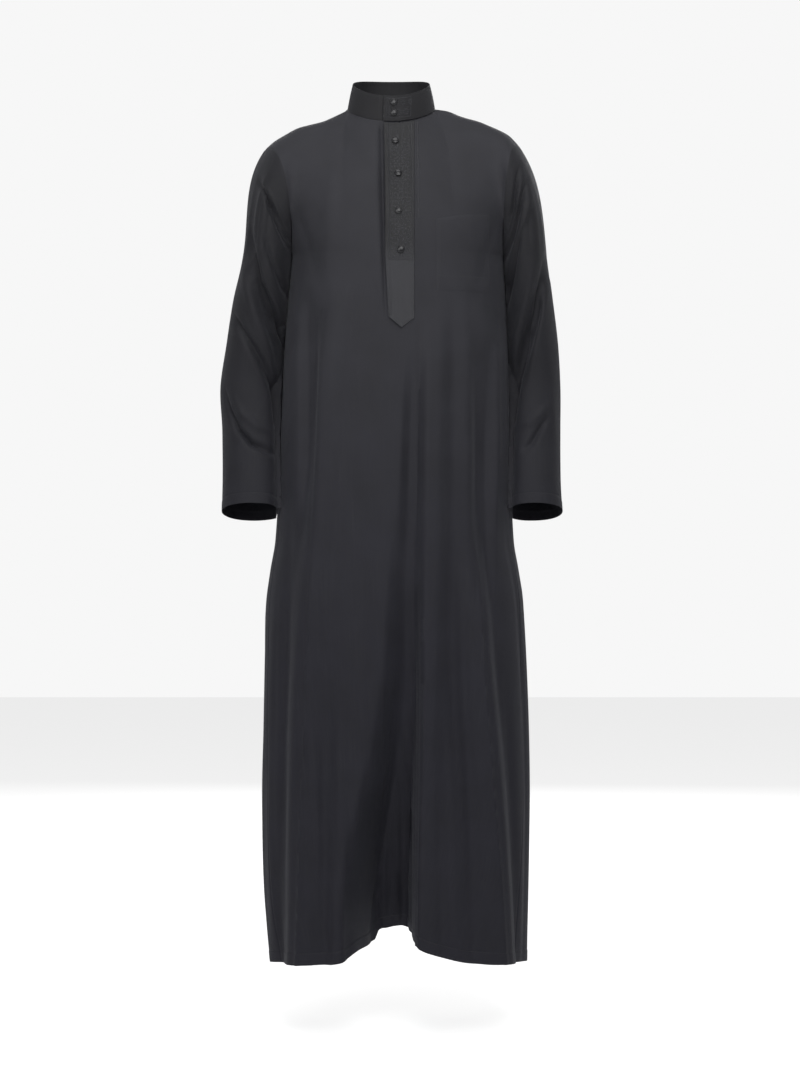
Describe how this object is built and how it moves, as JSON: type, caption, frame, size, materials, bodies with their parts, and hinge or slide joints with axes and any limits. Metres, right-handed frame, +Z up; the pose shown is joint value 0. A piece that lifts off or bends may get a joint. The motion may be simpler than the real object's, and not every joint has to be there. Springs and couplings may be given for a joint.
{
  "type": "thobe",
  "caption": "Ankle-length robe with a stand collar, an embroidered front placket, set-in sleeves and side gores, hollow as worn.",
  "frame": {"origin": "middle of the neck base, where the wearer's shoulders hold the robe up", "axes": "+Z up along the robe, +X towards the wearer's left, -Y towards the front"},
  "size_m": [0.5533, 0.324, 1.4335],
  "materials": {
    "cloth": "smooth charcoal suiting with a slight sheen",
    "collar_cloth": "stiffened charcoal cloth with tone-on-tone stitching",
    "placket_satin": "lighter charcoal satin, embroidered tone on tone above",
    "button": "glossy black"
  },
  "bodies": {
    "root": {"front": "cloth", "back": "cloth", "gore_left": "cloth", "gore_right": "cloth", "sleeve_left": "cloth", "sleeve_right": "cloth", "collar": "collar_cloth", "placket": "placket_satin", "placket_under": "placket_satin", "pocket": "cloth", "button_1": "button", "button_2": "button", "button_3": "button", "button_4": "button", "button_5": "button", "button_6": "button"}
  },
  "joints": []
}
